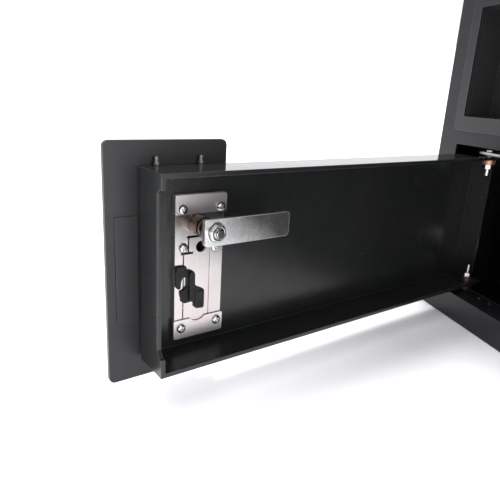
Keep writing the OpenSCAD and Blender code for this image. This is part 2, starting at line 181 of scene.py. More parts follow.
class Material(Graph):
    """A new material with one principled shader."""

    def __init__(self, name):
        self.material = bpy.data.materials.new(name)
        self.material.use_nodes = True
        super().__init__(self.material.node_tree)
        self.tree.nodes.clear()
        output = self.node("ShaderNodeOutputMaterial")
        self.principled = self.node("ShaderNodeBsdfPrincipled")
        self.plug(self.principled.outputs[0], output.inputs[0])

    def feed(self, name, source):
        self.plug(source, self.principled.inputs[name])

    def coords(self, scale=(1, 1, 1)):
        """Object coordinates, in metres."""
        source = self.node("ShaderNodeTexCoord")
        mapping = self.node("ShaderNodeMapping", Scale=scale)
        self.plug(source.outputs["Object"], mapping.inputs[0])
        return mapping.outputs[0]

    def noise(self, vector, scale, detail, rough=0.5):
        made = self.node("ShaderNodeTexNoise", Scale=scale, Detail=detail, Roughness=rough)
        self.plug(vector, made.inputs["Vector"])
        return made.outputs["Fac"]

    def bump(self, height, strength, distance, under=None):
        """Bumps the surface; under is an earlier bump that this one rides on."""
        made = self.node("ShaderNodeBump", Strength=strength, Distance=distance)
        self.plug(height, made.inputs["Height"])
        if under is not None:
            self.plug(under, made.inputs["Normal"])
        self.feed("Normal", made.outputs[0])
        return made.outputs[0]

    def edges(self, radius, start, end):
        """Mask that rises where a rounded normal leaves the true one."""
        geometry = self.node("ShaderNodeNewGeometry")
        bevel = self.node("ShaderNodeBevel", Radius=radius, samples=4)
        likeness = self.vector_math("DOT_PRODUCT", geometry.outputs["Normal"], bevel.outputs[0])
        return self.ramp(self.subtract(1.0, likeness), start, end)


def shade(color, factor, lift=0.0):
    return tuple(min(1.0, factor * c + lift) for c in color)


# ------------------------------------------------------------------ finishes
def inside_shade_mask(mat, place):
    """Mask for the painted shade inside the box: one on the box's inner faces, zero on its outer
    ones.
    """
    wall_depth, back_y = 0.0015, -0.0015
    fascia_depth = 0.0019
    x, y, z = mat.separate(place)
    in_x = mat.math("LESS_THAN", mat.math("ABSOLUTE", x), BODY_HI.x - wall_depth)
    in_z = mat.math("LESS_THAN", mat.math("ABSOLUTE", z), BODY_HI.z - wall_depth)
    behind_front = mat.math("GREATER_THAN", y, FRONT_Y + fascia_depth)
    before_back = mat.math("LESS_THAN", y, back_y)
    return mat.multiply(mat.multiply(in_x, in_z), mat.multiply(behind_front, before_back))


def powder_coat(name, dark, light, rough, spec, edge_wear_and_highlight=0.5, peel=1.0,
                shade_inside=False, sleek_top=0.0):
    """Powder coat: fine orange peel, faint cloudiness, and brighter edges, partly rubbed wear and
    partly painted highlight.
    """
    mat = Material(name)
    place = mat.coords()
    cloud = mat.noise(place, scale=14, detail=3)
    fleck = mat.noise(place, scale=2600, detail=1)
    color = mat.mix(mat.ramp(cloud, start=0.25, end=0.75), dark, light)
    speck = mat.ramp(fleck, start=0.62, end=0.76)
    color = mat.mix(speck, color, shade(light, 1.5, lift=0.006))

    # edges are brightened, partly as rubbed wear and partly as painted highlight: at least by the
    # floor share, and fully where the noise breaks through
    broken_share, floor_share = 0.6, 0.4
    edge = mat.edges(radius=0.0011, start=0.01, end=0.12)
    broken = mat.ramp(mat.noise(place, scale=160, detail=5, rough=0.65), start=0.42, end=0.62)
    patchy = mat.add(mat.multiply(broken, broken_share), floor_share)
    rubbed_and_lit_edge = mat.multiply(mat.multiply(edge, patchy), edge_wear_and_highlight)
    color = mat.mix(rubbed_and_lit_edge, color, shade(light, 2.4, lift=0.05))
    roughness = mat.ramp(mat.noise(place, scale=70, detail=3), start=0.25, end=0.75,
                         low=rough - 0.03, high=rough + 0.03)
    if shade_inside:
        # painted shade: the box's inner faces are darkened, and they are also made rougher
        added_rough = 0.25
        inside = inside_shade_mask(mat, place)
        color = mat.mix(inside, color, shade(dark, 0.35))
        roughness = mat.add(roughness, mat.multiply(inside, added_rough))
    mat.feed("Specular IOR Level", spec)
    if sleek_top:
        # the door pan's upper edge is rubbed smoother
        top_depth, top_spec = 0.0003, 0.045
        top = mat.math("GREATER_THAN", mat.separate(place)[2], PAN_HI.z - top_depth)
        roughness = mat.subtract(roughness, mat.multiply(top, sleek_top))
        mat.feed("Specular IOR Level", mat.add(mat.multiply(top, top_spec - spec), spec))
    mat.feed("Base Color", color)
    mat.feed("Roughness", roughness)
    coarse = mat.noise(place, scale=1000, detail=2, rough=0.55)
    fine = mat.noise(place, scale=3200, detail=1)
    under = mat.bump(coarse, strength=0.22 * peel, distance=0.00020)
    mat.bump(fine, strength=0.18 * peel, distance=0.00008, under=under)
    return mat.material


def paint_shade_towards_tip(mat, place, color, tint, fine, patch):
    """Painted shade: darkens the cam towards its tip, where it reflects darker surroundings; its
    rounded edges are left out of the shade and stay bright.
    """
    v_weight = 1.3       # how much v counts against u in the direction of the fade
    speckle_share = 0.30

    def along(axis):
        distance = mat.vector_math("DOT_PRODUCT", place, axis)
        return mat.multiply(mat.subtract(distance, DOOR_ORIGIN.dot(axis)), 1 / MM)

    reach = mat.subtract(along(U), mat.multiply(along(V), v_weight))
    fade = mat.map_range(reach, from_min=-8.0, from_max=30.0, to_min=0.0, to_max=1.0)
    salt = mat.ramp(fine, start=0.30, end=0.70)
    speckle = mat.subtract(mat.add(salt, mat.ramp(patch, start=0.3, end=0.7)), 1.0)
    fade = mat.add(fade, mat.multiply(speckle, speckle_share))
    edge = mat.edges(radius=0.0012, start=0.004, end=0.05)
    fade = mat.multiply(fade, mat.subtract(1.0, edge))
    return mat.mix(mat.ramp(fade, start=0.05, end=0.95, high=0.93), color, shade(tint, 0.10))


def paint_shade_in_grooves(mat, place, color):
    """Painted shade: the thread's roots are darkened where shade falls between the crests; the
    middle of the flat end is not darkened.
    """
    full_radius = 4.0    # mm at which the curve below reaches position 1
    strength = 0.93
    from_axis = mat.vector_math("SUBTRACT", place, door_point(*SPINDLE, 0))
    across = mat.vector_math("CROSS_PRODUCT", from_axis, W)
    radius = mat.multiply(mat.vector_math("LENGTH", across), 1 / MM)
    root_shade = mat.curve(mat.multiply(radius, 1 / full_radius),
                     [(0.60, 0.0), (0.66, 1.0), (0.76, 1.0), (0.82, 0.0)])
    return mat.mix(mat.multiply(root_shade, strength), color, (0.02, 0.018, 0.016))


def paint_shade_below(mat, place, color):
    """Painted shade: the bearing parts in the door's lower half are darkened, as they sit in
    shadow there.
    """
    strength = 0.85
    middle = PAN_LO.z * 0.5 + PAN_HI.z * 0.5
    low = mat.math("LESS_THAN", mat.separate(place)[2], middle)
    return mat.mix(mat.multiply(low, strength), color, (0.035, 0.030, 0.028))


def zinc(name, tint=(0.78, 0.77, 0.74), rough=0.30, mottle=1.0, scale=1500,
         shade_tip=False, shade_below=False, shaded_grooves=False):
    """Plated metal: fine crystalline mottling, dulled patches and light scuffs."""
    mat = Material(name)
    place = mat.coords()
    grain = mat.noise(place, scale=scale, detail=2, rough=0.6)
    fine = mat.noise(place, scale=scale * 2.3, detail=1)
    patch = mat.noise(place, scale=70, detail=3, rough=0.55)
    dark = shade(tint, 1 - 0.42 * mottle)
    light = shade(tint, 1 + 0.12 * mottle)
    color = mat.mix(mat.ramp(grain, start=0.36, end=0.64), dark, light)
    color = mat.mix(mat.ramp(fine, start=0.45, end=0.75, high=0.35 * mottle), color, light)
    color = mat.mix(mat.ramp(patch, start=0.40, end=0.75, high=0.35 * mottle),
                    color, shade(tint, 0.84))
    # painted shade on the cam towards its tip
    if shade_tip:
        color = paint_shade_towards_tip(mat, place, color, tint, fine, patch)
    # painted shade in the thread's roots
    if shaded_grooves:
        color = paint_shade_in_grooves(mat, place, color)
    # painted shade on the bearing parts below the door's middle
    if shade_below:
        color = paint_shade_below(mat, place, color)
    mat.feed("Base Color", color)
    mat.feed("Metallic", 1.0)
    mat.feed("Roughness", mat.ramp(grain, start=0.2, end=0.8,
                                   low=rough + 0.12 * mottle, high=rough - 0.05))
    under = mat.bump(grain, strength=0.12 * mottle, distance=0.00008)
    scuff = mat.noise(mat.coords(scale=(300, 300, 5200)), scale=1.0, detail=2)
    mat.bump(mat.ramp(scuff, start=0.60, end=0.66), strength=0.04, distance=0.00002, under=under)
    return mat.material


def brushed(name, tint, warm, rough):
    """Rolled stainless: faint vertical grain, soft heat-tinted clouds."""
    mat = Material(name)
    line = mat.noise(mat.coords(scale=(2400, 2400, 30)), scale=1.0, detail=2)
    cloud = mat.noise(mat.coords(), scale=60, detail=3, rough=0.55)
    dots = mat.noise(mat.coords(), scale=2200, detail=1)
    color = mat.mix(mat.ramp(cloud, start=0.38, end=0.66), tint, warm)
    color = mat.mix(mat.ramp(line, start=0.35, end=0.75, high=0.30), color, shade(tint, 0.86))
    color = mat.mix(mat.ramp(dots, start=0.62, end=0.74, high=0.16), color, shade(warm, 0.6))
    mat.feed("Base Color", color)
    mat.feed("Metallic", 1.0)
    mat.feed("Roughness", mat.ramp(line, start=0.2, end=0.8, low=rough - 0.03, high=rough + 0.05))
    mat.bump(line, strength=0.05, distance=0.00003)
    return mat.material


def plastic(name):
    """Black moulded plastic with a fine texture."""
    color, rough = (0.005, 0.005, 0.0055), 0.42
    mat = Material(name)
    place = mat.coords()
    cloud = mat.noise(place, scale=300, detail=4, rough=0.6)
    mat.feed("Base Color", mat.mix(mat.ramp(cloud, start=0.3, end=0.8),
                                   color, shade(color, 1.9, lift=0.002)))
    mat.feed("Specular IOR Level", 0.32)
    mat.feed("Roughness", mat.ramp(mat.noise(place, scale=120, detail=3), start=0.2, end=0.8,
                                   low=rough - 0.08, high=rough + 0.12))
    mat.bump(mat.noise(place, scale=2200, detail=2), strength=0.15, distance=0.00006)
    return mat.material


def cast(name, tint, rough):
    """Die-cast part, satin plated: slight ripple under the plating."""
    mat = Material(name)
    place = mat.coords()
    ripple = mat.noise(place, scale=70, detail=4, rough=0.55)
    fine = mat.noise(place, scale=1500, detail=2)
    mat.feed("Base Color", mat.mix(mat.ramp(ripple, start=0.3, end=0.75), shade(tint, 0.86), tint))
    mat.feed("Metallic", 1.0)
    mat.feed("Roughness", mat.ramp(fine, start=0.2, end=0.8, low=rough - 0.06, high=rough + 0.08))
    under = mat.bump(ripple, strength=0.06, distance=0.0004)
    mat.bump(fine, strength=0.08, distance=0.00005, under=under)
    return mat.material


CHARCOAL = dict(dark=(0.0085, 0.0085, 0.0105), light=(0.012, 0.012, 0.015), rough=0.38, spec=0.32)
BODY = powder_coat("powder_coat_charcoal", **CHARCOAL)
# the trim is a lighter copy of the charcoal coat with stronger edge brightening: painted highlight
# on its raised ridge
TRIM_HIGHLIT = powder_coat("powder_coat_trim", dark=(0.0105, 0.0105, 0.0125),
                   light=(0.015, 0.015, 0.018), rough=0.30, spec=0.42, edge_wear_and_highlight=1.5)
# the shell's inner faces carry painted shade
SHELL = powder_coat("powder_coat_shell", **CHARCOAL, shade_inside=True)
PAN = powder_coat("powder_coat_door", dark=(0.014, 0.015, 0.015), light=(0.020, 0.021, 0.021),
                  rough=0.25, spec=0.5, edge_wear_and_highlight=0.6, peel=0.7, sleek_top=0.14)
# the pocket is a lighter copy of the charcoal coat: painted reflection, as seen on its back wall
TRAY_LIT = powder_coat("powder_coat_pocket", dark=(0.022, 0.022, 0.022),
                   light=(0.028, 0.028, 0.028), rough=0.42, spec=0.3)
COVER = powder_coat("powder_coat_cover", dark=(0.024, 0.024, 0.025),
                    light=(0.030, 0.030, 0.032), rough=0.40, spec=0.45)
ZINC = zinc("zinc_plate")
# the cam carries painted shade towards its tip
CAM = zinc("zinc_cam", tint=(0.97, 0.97, 0.96), rough=0.36, mottle=0.9, shade_tip=True)
TAB = zinc("zinc_tab", tint=(0.79, 0.73, 0.735), rough=0.34, mottle=0.14, scale=1300)
SCREW = zinc("zinc_screw", tint=(0.66, 0.68, 0.69), rough=0.20, mottle=0.25, scale=1200)
# the thread carries painted shade in its roots
THREAD = zinc("zinc_thread", tint=(0.80, 0.74, 0.70), rough=0.16, mottle=0.30, scale=1200,
              shaded_grooves=True)
WASHER = zinc("zinc_washer", tint=(0.80, 0.78, 0.75), rough=0.16, mottle=0.30, scale=1200)
PIN = zinc("zinc_pin", tint=(0.30, 0.30, 0.31), rough=0.42, mottle=0.6, scale=1300)
SLEEVE = zinc("chromate_sleeve", tint=(0.105, 0.073, 0.056), rough=0.19, mottle=0.30, scale=900)
STEEL = brushed("stainless_sheet", tint=(0.645, 0.615, 0.61), warm=(0.625, 0.56, 0.545),
                rough=0.20)
WIRE = brushed("spring_wire", tint=(0.74, 0.73, 0.72), warm=(0.70, 0.69, 0.67), rough=0.25)
RING = zinc("spring_steel_ring", tint=(0.022, 0.020, 0.018), rough=0.35, mottle=0.5)
# the lower bush and the thrust washer carry painted shade
BRONZE = zinc("sintered_bronze", tint=(0.86, 0.48, 0.36), rough=0.50, mottle=0.35, scale=1400,
              shade_below=True)
BRASS = zinc("machined_brass", tint=(0.76, 0.58, 0.28), rough=0.25, mottle=0.3, scale=900)
CAST = cast("satin_chrome_cast", tint=(0.33, 0.33, 0.34), rough=0.26)
HOUSING = cast("satin_chrome_housing", tint=(0.115, 0.115, 0.12), rough=0.36)
PLASTIC = plastic("black_acetal")


def calm_bounces(material):
    """Diffuse bounces see a rougher finish, so small bright parts throw no sparkles."""
    added_rough = 0.5
    graph = Graph(material.node_tree)
    for shader in [n for n in graph.tree.nodes if n.type == "BSDF_PRINCIPLED"]:
        target = shader.inputs["Roughness"]
        if target.links:
            source = target.links[0].from_socket
            diffuse = graph.node("ShaderNodeLightPath").outputs["Is Diffuse Ray"]
            graph.plug(graph.add(source, graph.multiply(diffuse, added_rough)), target)


# the frame may bring materials of its own, some without nodes
for material in bpy.data.materials:
    if material.use_nodes:
        calm_bounces(material)


# ------------------------------------------------------------------ mesh helpers
def soften(obj, width, segments=2, angle=32, weld=False):
    """Rounds the hard edges by width mm and shades smooth with weighted normals."""
    mesh = obj.data
    custom = mesh.attributes.get("custom_normal")
    if custom:
        mesh.attributes.remove(custom)
    for face in mesh.polygons:
        face.use_smooth = True
    if weld:
        obj.modifiers.new("weld", "WELD").merge_threshold = 2e-6
    if width > 0:
        bevel = obj.modifiers.new("round", "BEVEL")
        bevel.width = width * MM
        bevel.segments = segments
        bevel.limit_method = "ANGLE"
        bevel.angle_limit = math.radians(angle)
        bevel.miter_outer = "MITER_ARC"
        bevel.use_clamp_overlap = True
        bevel.harden_normals = False
    normals = obj.modifiers.new("normals", "WEIGHTED_NORMAL")
    normals.keep_sharp = False
    normals.weight = 80


def add_object(name, bm):
    mesh = bpy.data.meshes.new(name)
    bm.to_mesh(mesh)
    bm.free()
    obj = bpy.data.objects.new(name, mesh)
    bpy.context.scene.collection.objects.link(obj)
    return obj


def make(name, bm, material, body, soft=None):
    """A new piece from a bmesh in door mm, riding on a body; soft holds soften's settings."""
    bmesh.ops.remove_doubles(bm, verts=bm.verts, dist=1e-4)
    bmesh.ops.recalc_face_normals(bm, faces=bm.faces)
    obj = add_object(name, bm)
    obj.data.transform(DOOR)
    obj.data.materials.append(material)
    if soft is not None:
        soften(obj, **soft)
    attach(obj, body)
    return obj


def add_ring(bm, radius, w, count, centre):
    """Ring of vertices about the w axis; radius may be a function of the angle."""
    ring = []
    for i in range(count):
        angle = 2 * math.pi * i / count
        reach = radius(angle) if callable(radius) else radius
        ring.append(bm.verts.new((centre[0] + reach * math.cos(angle),
                                  centre[1] + reach * math.sin(angle), w)))
    return ring


def link_rings(bm, first, second):
    for i in range(len(first)):
        j = (i + 1) % len(first)
        bm.faces.new((first[i], first[j], second[j], second[i]))


def lathe(bm, profile, count, centre=(0, 0), close=False):
    """Profile of (radius, w) revolved about the w axis at centre (u, v)."""
    rings = []
    for radius, w in profile:
        if radius == 0:
            rings.append([bm.verts.new((*centre, w))])
        else:
            rings.append(add_ring(bm, radius, w, count, centre))
    pairs = list(zip(rings, rings[1:]))
    if close:
        pairs.append((rings[-1], rings[0]))
    for first, second in pairs:
        if len(first) == len(second):
            link_rings(bm, first, second)
            continue
        for i in range(count):
            j = (i + 1) % count
            if len(first) == 1:
                bm.faces.new((first[0], second[i], second[j]))
            else:
                bm.faces.new((first[i], first[j], second[0]))


def spindle_tube(bm, rows, count):
    """Rows of (w, radius) about the spindle's axis, joined into an open tube."""
    rings = [add_ring(bm, radius, w, count, SPINDLE) for w, radius in rows]
    for first, second in zip(rings, rings[1:]):
        link_rings(bm, first, second)
    return rings


def spindle_cap(bm, ring, w):
    centre = bm.verts.new((*SPINDLE, w))
    for i in range(len(ring)):
        bm.faces.new((ring[i], ring[(i + 1) % len(ring)], centre))


def loft(bm, low, high, low_w, high_w):
    """Closed solid between two outlines of (u, v) points at two depths."""
    low_ring = [bm.verts.new((*point, low_w)) for point in low]
    high_ring = [bm.verts.new((*point, high_w)) for point in high]
    bm.faces.new(low_ring)
    bm.faces.new(list(reversed(high_ring)))
    for i in range(len(low)):
        j = (i + 1) % len(low)
        bm.faces.new((low_ring[i], high_ring[i], high_ring[j], low_ring[j]))


def prism(bm, outline, low_w, high_w):
    loft(bm, outline, outline, low_w, high_w)


def rounded_rectangle(u0, v0, u1, v1, radius, steps=5):
    """Outline with a quarter arc of steps + 1 points at each corner."""
    corners = [(u1 - radius, v1 - radius), (u0 + radius, v1 - radius),
               (u0 + radius, v0 + radius), (u1 - radius, v0 + radius)]
    points = []
    for quarter, (u, v) in enumerate(corners):
        for i in range(steps + 1):
            angle = math.radians(90 * quarter + 90 * i / steps)
            points.append((u + radius * math.cos(angle), v + radius * math.sin(angle)))
    return points


def turned_rectangle(half_length, half_width, turn):
    cos, sin = math.cos(turn), math.sin(turn)
    corners = ((-half_length, -half_width), (half_length, -half_width),
               (half_length, half_width), (-half_length, half_width))
    return [(cos * x - sin * y, sin * x + cos * y) for x, y in corners]


def cut(bm, cutters):
    """Exact boolean: a new bmesh with every cutter taken out of bm."""
    def temporary(shape):
        bmesh.ops.recalc_face_normals(shape, faces=shape.faces)
        return add_object("tmp_cut", shape)

    base = temporary(bm)
    tools = [temporary(cutter) for cutter in cutters]
    for tool in tools:
        modifier = base.modifiers.new("cut", "BOOLEAN")
        modifier.operation = "DIFFERENCE"
        modifier.solver = "EXACT"
        modifier.object = tool
    depsgraph = bpy.context.evaluated_depsgraph_get()
    result_mesh = bpy.data.meshes.new_from_object(base.evaluated_get(depsgraph))
    result = bmesh.new()
    result.from_mesh(result_mesh)
    for obj in tools + [base]:
        mesh = obj.data
        bpy.data.objects.remove(obj)
        bpy.data.meshes.remove(mesh)
    bpy.data.meshes.remove(result_mesh)
    return result


# ------------------------------------------------------------------ CAD nodes
# node: (material, edge rounding in mm, bevel segments)
FINISH = {
    "body_shell": (SHELL, 1.1, 3), "front_fascia": (BODY, 0.45, 2),
    "recess_tray": (TRAY_LIT, 0.4, 2), "recess_trim": (TRIM_HIGHLIT, 0.9, 3),
    "hinge_strap_top": (ZINC, 0.45, 2), "hinge_strap_bottom": (ZINC, 0.45, 2),
    "strap_screws": (SCREW, 0.5, 2), "door_pan": (PAN, 0.5, 2),
    "cover_plate": (COVER, 0.55, 2), "cover_bumper": (COVER, 0.25, 2),
    "cover_pins": (PIN, 0.3, 2), "pivot_bolts": (SCREW, 0.3, 2),
    "pivot_bushes": (BRONZE, 0.3, 2), "pivot_nuts": (SCREW, 0.4, 2),
    "thrust_washer": (BRONZE, 0.2, 1), "front_housing": (HOUSING, 0.9, 3),
    "lock_chassis": (ZINC, 0.15, 1), "lock_base_plate": (STEEL, 0.12, 1),
    "lock_clamp_tabs": (TAB, 0.25, 2), "lock_screws": (SCREW, 0.25, 2),
    "lock_plate_screws": (SCREW, 0.25, 2), "tumbler_shaft": (STEEL, 0.1, 1),
    "shaft_sleeve": (SLEEVE, 0.3, 2), "sleeve_ring": (RING, 0.12, 1),
    "knob": (CAST, 1.0, 3), "knob_spindle": (SLEEVE, 0.3, 2), "cam": (CAM, 0.75, 3),
    "cam_washer": (SCREW, 0.12, 1), "cam_nut": (SCREW, 0.5, 2), "change_slide": (PLASTIC, 0.4, 2),
}
BUTTONS = range(1, 6)
for i in BUTTONS:
    FINISH["button_%d" % i] = (CAST, 0.45, 3)
    FINISH["button_spring_%d" % i] = (WIRE, 0.0, 1)
    FINISH["code_tumbler_%d" % i] = (BRASS, 0.15, 1)
for name, (material, width, segments) in FINISH.items():
    NODES[name].data.materials.clear()
    NODES[name].data.materials.append(material)
    soften(NODES[name], width, segments, weld=True)


def round_outer_edges_only(obj):
    """Rounds only the box's folded outer edges; its holes keep crisp rims."""
    mesh = obj.data
    weights = (mesh.attributes.get("bevel_weight_edge")
               or mesh.attributes.new("bevel_weight_edge", "FLOAT", "EDGE"))

    def sides(vertex):
        """The sides of the bounding box that the vertex lies on."""
        place = mesh.vertices[vertex].co
        return {(i, k) for i in range(3) for k, corner in enumerate((BODY_LO, BODY_HI))
                if abs(place[i] - corner[i]) < 5e-6}

    for edge in mesh.edges:
        shared = sides(edge.vertices[0]) & sides(edge.vertices[1])
        weights.data[edge.index].value = 1.0 if len(shared) >= 2 else 0.0
    obj.modifiers["round"].limit_method = "WEIGHT"


round_outer_edges_only(NODES["body_shell"])

# ------------------------------------------------------------------ pan-head screws
HEAD_RADIUS, HEAD_HEIGHT = 3.2, 2.1
# (share of the head's radius, share of its height) from the crown down to the rim
CROWN = [(0.0, 1.0), (0.35, 0.985), (0.60, 0.93), (0.80, 0.80), (0.93, 0.60), (0.995, 0.36),
         (1.0, 0.22)]


def pan_head_screw(shank, length, turn):
    """Cross-recess screw: head from w = -HEAD_HEIGHT to 0, plain shank on to w = length."""
    radius, crown_w = HEAD_RADIUS, -HEAD_HEIGHT
    bm = bmesh.new()
    head = [(radius * across, crown_w * up) for across, up in CROWN]
    head += [(radius * 0.985, -0.05), (radius * 0.95, 0.0), (shank, 0.0)]
    lathe(bm, head, count=56)
    lathe(bm, [(shank, 0.0), (shank * 0.98, length - 0.3), (shank * 0.75, length), (0.0, length)],
          count=56)
    bmesh.ops.remove_doubles(bm, verts=bm.verts, dist=1e-4)
    cutters = []
    for slot_turn in (turn, turn + math.pi / 2):
        slot = bmesh.new()
        loft(slot, turned_rectangle(radius * 0.60, radius * 0.15, slot_turn),
             turned_rectangle(radius * 0.30, radius * 0.09, slot_turn),
             crown_w - 0.3, crown_w + 1.25)
        cutters.append(slot)
    point = bmesh.new()
    lathe(point, [(0.0, crown_w - 0.2), (radius * 0.30, crown_w - 0.2),
                  (radius * 0.12, crown_w + 1.35), (0.0, crown_w + 1.5)], count=24)
    cutters.append(point)
    return cut(bm, cutters)


# name, node replaced, w under the heads, shank radius, length, (u, v, turn of the cross) each
SCREW_SETS = [
    ("lock_screw_%d", "lock_screws", 24.6, 1.5, 19.0,
     [(26.5, 27.1, 0.35), (54.2, 27.2, 0.9), (26.4, 107.7, 0.15), (53.5, 107.1, 1.2)]),
    ("plate_screw_%d", "lock_plate_screws", 25.6, 1.4, 3.0,
     [(27.8, 52.4, 0.6), (51.3, 54.7, 0.2)]),
]
for name, replaced, seat_w, shank, length, places in SCREW_SETS:
    for i, (u, v, turn) in enumerate(places):
        bm = pan_head_screw(shank, length, turn)
        bm.transform(Matrix.Translation((u, v, seat_w)))
        screw = make(name % (i + 1), bm, SCREW, "door", soft=dict(width=0.06, angle=40))
        if i == 0:
            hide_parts(replaced)

# ------------------------------------------------------------------ spindle, nut and washer
THREAD_START, THREAD_END = -3.5, 1.4   # w of the free end and of the last turn
THREAD_RADIUS = 3.38
SPINDLE_JOIN = 2.2                     # w where the threaded and turned lengths meet


def thread_rows():
    """Rows of (w, radius function) along the coarse thread, tapered at the free end."""
    pitch, depth, tip, steps_per_turn = 1.27, 0.62, 0.6, 12
    length = THREAD_END - THREAD_START

    def radius_at(w):
        def radius(angle):
            phase = ((w - THREAD_START) / pitch + angle / (2 * math.pi)) % 1.0
            ridge = min(1.0, 1.25 * abs(2 * phase - 1))
            fade = min(1.0, max(0.0, (w - THREAD_START) / tip))
            return (THREAD_RADIUS - depth + depth * ridge) * (0.80 + 0.20 * fade)
        return radius

    steps = round(length / pitch * steps_per_turn)
    stations = [THREAD_START + length * k / steps for k in range(steps + 1)]
    return [(w, radius_at(w)) for w in stations]


def spindle_thread():
    bm = bmesh.new()
    rings = spindle_tube(bm, thread_rows() + [(1.42, 2.9), (SPINDLE_JOIN, 2.9)], count=72)
    spindle_cap(bm, list(reversed(rings[0])), THREAD_START)
    spindle_cap(bm, rings[-1], SPINDLE_JOIN)
    make("spindle_thread", bm, THREAD, "knob_and_cam")


def spindle_turned():
    """Cam seat, sleeve with a shallow groove, and the length that runs out to the knob."""
    # (w, radius)
    rows = [(SPINDLE_JOIN, THREAD_RADIUS), (2.24, THREAD_RADIUS), (2.25, 3.98), (5.15, 3.98),
            (5.16, 5.9), (5.5, 6.28), (9.2, 6.28), (9.35, 6.05), (9.85, 6.05), (10.0, 6.28),
            (13.6, 6.28), (13.99, 5.9), (14.0, 4.48), (47.7, 4.48), (47.7, 3.98), (62.65, 3.98)]
    bm = bmesh.new()
    rings = spindle_tube(bm, rows, count=72)
    spindle_cap(bm, list(reversed(rings[0])), SPINDLE_JOIN)
    spindle_cap(bm, rings[-1], 62.68)
    spindle = make("spindle_turned", bm, SLEEVE, "knob_and_cam", soft=dict(width=0.0))
    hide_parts("knob_spindle")


def cam_nut():
    """Hexagon nut, chamfered at both ends, with a countersunk bore."""
    outer_w, inner_w = -1.6, 1.45
    flats, bore, sink, turn = 10.0, 3.5, 0.45, 0.26
    corner = flats / 2 / math.cos(math.pi / 6)
    face = flats / 2 * 0.97
    chamfer = (corner - flats / 2 * 0.99) * 0.58

    def hexagon(limit):
        """Radius function of the hexagon, trimmed to a circle of radius limit."""
        def radius(angle):
            off_flat = (angle - turn) % (math.pi / 3) - math.pi / 6
            return min(flats / 2 / math.cos(off_flat), limit)
        return radius

    bm = bmesh.new()
    outside = spindle_tube(bm, [
        (inner_w, hexagon(face)), (inner_w - chamfer, hexagon(corner)),
        (outer_w + chamfer, hexagon(corner)),
        (outer_w + chamfer * 0.5, hexagon((corner + face) / 2)), (outer_w, hexagon(face))], 96)
    inside = spindle_tube(bm, [(outer_w, bore * 1.14), (outer_w + sink, bore),
                               (inner_w - sink, bore), (inner_w, bore * 1.14)], 96)
    link_rings(bm, outside[-1], inside[0])
    link_rings(bm, inside[-1], outside[0])
    nut = make("cam_nut_chamfered", bm, SCREW, "knob_and_cam",
               soft=dict(width=0.10, angle=25))
    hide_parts("cam_nut")


def cup_washer():
    """Washer with a raised rounded rim and a recessed seat around the nut."""
    # (radius, w)
    profile = [(3.5, 2.24), (3.5, 1.92), (3.62, 1.80), (5.35, 1.80), (5.62, 1.56), (5.80, 1.51),
               (6.25, 1.51), (6.46, 1.68), (6.5, 2.0), (6.4, 2.24)]
    bm = bmesh.new()
    lathe(bm, profile, count=96, centre=SPINDLE, close=True)
    washer = make("cam_cup_washer", bm, WASHER, "knob_and_cam",
                  soft=dict(width=0.05, angle=30))
    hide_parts("cam_washer")


spindle_thread()
spindle_turned()
cam_nut()
cup_washer()


# ------------------------------------------------------------------ return springs
def return_spring(number):
    """Wound wire with closed ends."""
    start_w, end_w, anchor_w = 41.80, 45.85, 41.45
    coil_radius, wire_radius = 3.1, 0.32
    turns, steps_per_turn, wire_sides = 4.0, 36, 10
    end_turns, end_share = 0.8, 0.07   # turns in each closed end, and their share of the length
    corner_lo, corner_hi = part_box("button_spring_%d" % number)
    offset = (corner_lo + corner_hi) / 2 - DOOR_ORIGIN
    centre_u, centre_v = offset.dot(U) / MM, offset.dot(V) / MM
    bm = bmesh.new()
    previous = None
    for k in range(int(turns * steps_per_turn) + 1):
        turn = k / steps_per_turn
        open_part = min(1.0, max(0.0, (turn - end_turns) / (turns - 2 * end_turns)))
        ends = min(1.0, turn / end_turns) + max(0.0, (turn - turns + end_turns) / end_turns)
        w = start_w + (end_w - start_w) * (open_part * (1 - 2 * end_share) + end_share * ends)
        angle = 2 * math.pi * turn
        ring = []
        for j in range(wire_sides):
            around = 2 * math.pi * j / wire_sides
            radius = coil_radius + wire_radius * math.cos(around)
            ring.append(bm.verts.new((centre_u + radius * math.cos(angle),
                                      centre_v + radius * math.sin(angle),
                                      w + wire_radius * math.sin(around))))
        if previous:
            link_rings(bm, previous, ring)
        else:
            bm.faces.new(list(reversed(ring)))
        previous = ring
    bm.faces.new(previous)
    spring = make("return_spring_%d" % number, bm, WIRE, "door",
                  soft=dict(width=0.0))
    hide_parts("button_spring_%d" % number)
    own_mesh(spring)


for i in BUTTONS:
    return_spring(i)

# ------------------------------------------------------------------ change slide
# outline (u, v)
SLIDE = [
    (22.6, 63.6), (29.2, 64.3), (29.9, 65.3), (30.1, 67.6), (33, 67.6), (35.4, 68.9),
    (36.4, 70.8), (36.6, 78.1), (37.9, 79.9), (42.9, 82.3), (43.6, 83.9), (43.6, 94.8),
    (42.9, 96.1), (40.3, 95.9), (38.3, 94.6), (36.8, 92.5), (34.2, 89.9), (28.9, 90.3),
    (26.5, 88.8), (26.4, 86.4), (25.6, 83.2), (25.7, 81.3), (27.5, 80.9), (29.1, 79.9),
    (30.5, 77.9), (30.6, 74.5), (29.9, 72.6), (28.5, 71.9), (27.0, 72.8), (26.1, 75.4),
    (25.9, 79.0), (25.2, 79.7), (24, 79.7), (22.6, 78.3), (22, 74.8), (21.8, 68.4),
    (22.2, 66.6), (22.2, 64.4),
]
# raised blocks on the slide: (u0, v0, u1, v1, corner radius), w of the raised face
SLIDE_BLOCKS = [((31.2, 68.3, 35.1, 88.7, 1.7), 22.25), ((36.4, 83.2, 43.2, 95.4, 1.6), 23.7),
                ((22.5, 64.2, 29.3, 67.6, 1.2), 23.7)]


